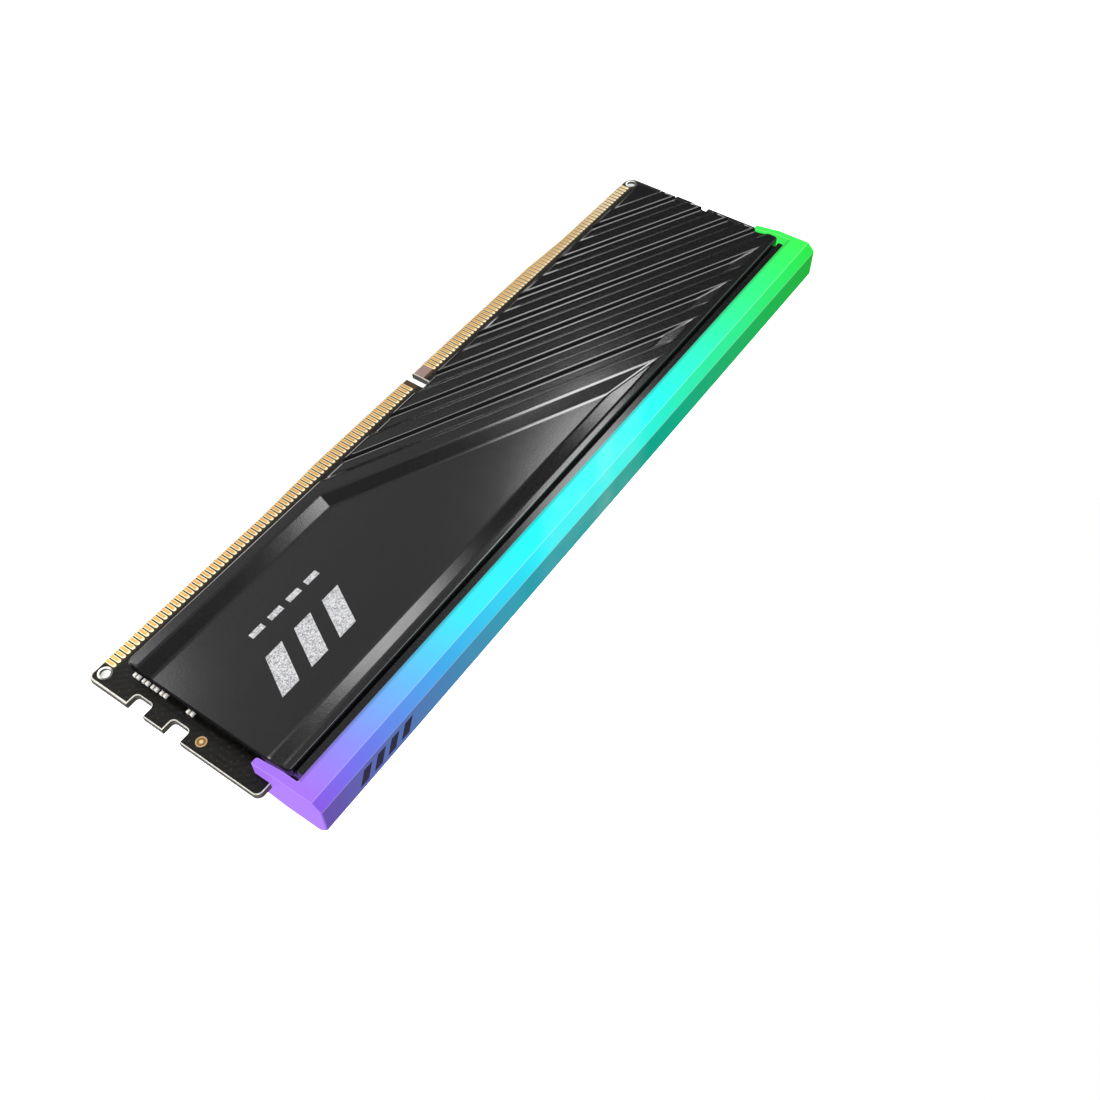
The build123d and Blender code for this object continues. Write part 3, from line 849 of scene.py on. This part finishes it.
# ---- studio ------------------------------------------------------------------------------------
# Soft boxes of the studio: heading low and high, tilt low and high, softness of each, slant and
# brightness.  Heading 0 looks from the module along -Y and grows towards -X; tilt is up from level;
# a slant moves the box's heading by that share of its tilt.  Angles are in degrees.
SOFT_BOXES = (
    (20.1, 27.2, -22.4, -4.6, 1.2, 1.6, 0.61, 10.5),     # the main strip, in bevels and crests
    (30.0, 38.5, -16.0, -3.0, 1.6, 1.2, 0.0, 5.6),       # rib crests, half without the panel
    (-4.0, 34.0, 3.0, 24.0, 4.0, 3.0, 0.0, 5.0),         # rib crests, on their steep side
    (40.0, 56.0, 0.0, 24.0, 3.0, 3.0, 0.0, 2.0),         # top edge of the spreader
    (31.5, 41.0, -57.0, -47.0, 2.0, 1.5, 0.0, 6.5),      # upper bevel of the panel
    (-6.0, 17.4, -52.0, -32.4, 1.5, 1.5, 0.0, 3.9),      # end of the panel and the lower lip
    (52.2, 54.9, -42.0, -37.5, 0.6, 0.8, 0.0, 11.0),     # upper bevel beside the first rib
    (-5.0, 38.0, -50.0, -10.0, 6.0, 6.0, 0.0, 0.38),     # broad glow on the flat faces
    (-5.0, 38.0, -50.0, -29.0, 6.0, 4.0, 0.0, 0.15),     # more of that glow low down
    (50.0, 90.0, -82.0, -55.5, 3.0, 2.0, 0.0, 4.5),      # the spreader's lower edge
    (-90.0, -44.0, -82.0, -55.5, 3.0, 2.0, 0.0, 4.5),    # and the same edge further round
    (62.0, 90.0, -46.0, -37.0, 3.0, 3.0, 0.0, 1.9),      # gentle side of the ribs
    (-90.0, -60.0, -46.0, -37.0, 3.0, 3.0, 0.0, 1.9),    # and the same side further round
)
STUDIO_FILL = 0.07       # light from everywhere else
# name, strength, spread and turn about X, Y and Z in degrees
SOFT_LAMPS = (
    ("overhead", 2.6, 100.0, (0.0, 0.0, 0.0)),
    ("front_fill", 1.5, 90.0, (65.0, 0.0, 20.0)),
    ("back_fill", 1.5, 90.0, (65.0, 0.0, 200.0)),
)


def make_world():
    """White background for the camera, soft boxes for everything else.

    The back half repeats the front half turned by 180 degrees, so both faces are lit alike.
    """
    world = bpy.data.worlds.new("studio")
    bpy.context.scene.world = world
    world.use_nodes = True
    t = Tree(world.node_tree)
    direction = t.add("ShaderNodeTexCoord").outputs["Generated"]
    split = t.axes(direction)
    turn = t.maths("SIGN", split[1])
    x = t.maths("MULTIPLY", split[0], turn)
    y = t.maths("MULTIPLY", split[1], turn)
    heading = t.maths("DEGREES", t.maths("ARCTAN2", x, y))
    tilt = t.maths("DEGREES", t.maths("ARCSINE", split[2]))
    light = STUDIO_FILL
    for left, right, low, high, soft, soft_tilt, slant, strength in SOFT_BOXES:
        slanted = t.maths("MULTIPLY_ADD", tilt, slant, heading)
        across = t.band(slanted, left, right, soft)
        spot = t.maths("MULTIPLY", across, t.band(tilt, low, high, soft_tilt))
        light = t.maths("MULTIPLY_ADD", spot, strength, light)
    studio = t.add("ShaderNodeBackground", Color=(1, 1, 1, 1), Strength=light)
    seen = t.add("ShaderNodeBackground", Color=(1, 1, 1, 1), Strength=1.0)
    mixer = t.add("ShaderNodeMixShader")
    t.give(mixer.inputs[0], t.add("ShaderNodeLightPath").outputs["Is Camera Ray"])
    t.give(mixer.inputs[1], studio.outputs[0])
    t.give(mixer.inputs[2], seen.outputs[0])
    t.add("ShaderNodeOutputWorld", Surface=mixer.outputs[0])


def make_floor():
    mesh = bpy.data.meshes.new("floor_mesh")
    half = FLOOR_SIZE / 2
    corners = [(-half, -half, 0), (half, -half, 0), (half, half, 0), (-half, half, 0)]
    mesh.from_pydata(corners, [], [(0, 1, 2, 3)])
    floor = bpy.data.objects.new("floor", mesh)
    mesh.materials.append(floor_material())
    bpy.context.scene.collection.objects.link(floor)
    floor.location.z = -FLOOR_DROP * MM
    floor.visible_glossy = False
    floor.visible_shadow = False


def make_lights():
    """Broad soft lights: one from above, one over the front face and one over the back."""
    for name, strength, spread, turn in SOFT_LAMPS:
        data = bpy.data.lights.new(name, "SUN")
        data.energy = strength
        data.angle = math.radians(spread)
        lamp = bpy.data.objects.new(name, data)
        bpy.context.scene.collection.objects.link(lamp)
        lamp.rotation_euler = [math.radians(angle) for angle in turn]
        lamp.visible_glossy = False


def make_camera():
    data = bpy.data.cameras.new("camera")
    data.lens = CAMERA_LENS
    data.sensor_width = 36.0
    data.clip_start = 0.005
    data.clip_end = 60.0
    heading = math.radians(CAMERA_AZIMUTH)
    tilt = math.radians(CAMERA_TILT)
    level = Vector((math.cos(heading), math.sin(heading), 0))
    look = level * math.cos(tilt) + Vector((0, 0, math.sin(tilt)))
    level_right = look.cross(Vector((0, 0, 1))).normalized()
    level_up = level_right.cross(look)
    roll = math.radians(CAMERA_ROLL)
    right = level_right * math.cos(roll) + level_up * math.sin(roll)
    up = right.cross(look)
    turn = Matrix((right, up, -look)).transposed()
    camera = bpy.data.objects.new("camera", data)
    bpy.context.scene.collection.objects.link(camera)
    camera.matrix_world = Matrix.Translation(Vector(CAMERA_PLACE) * MM) @ turn.to_4x4()
    bpy.context.scene.camera = camera


make_spreaders()
make_board()
make_capacitors()
make_cover()
make_cover_mark()
finish_kept_nodes()
make_world()
make_floor()
make_lights()
make_camera()
bpy.context.scene.view_settings.view_transform = "Standard"
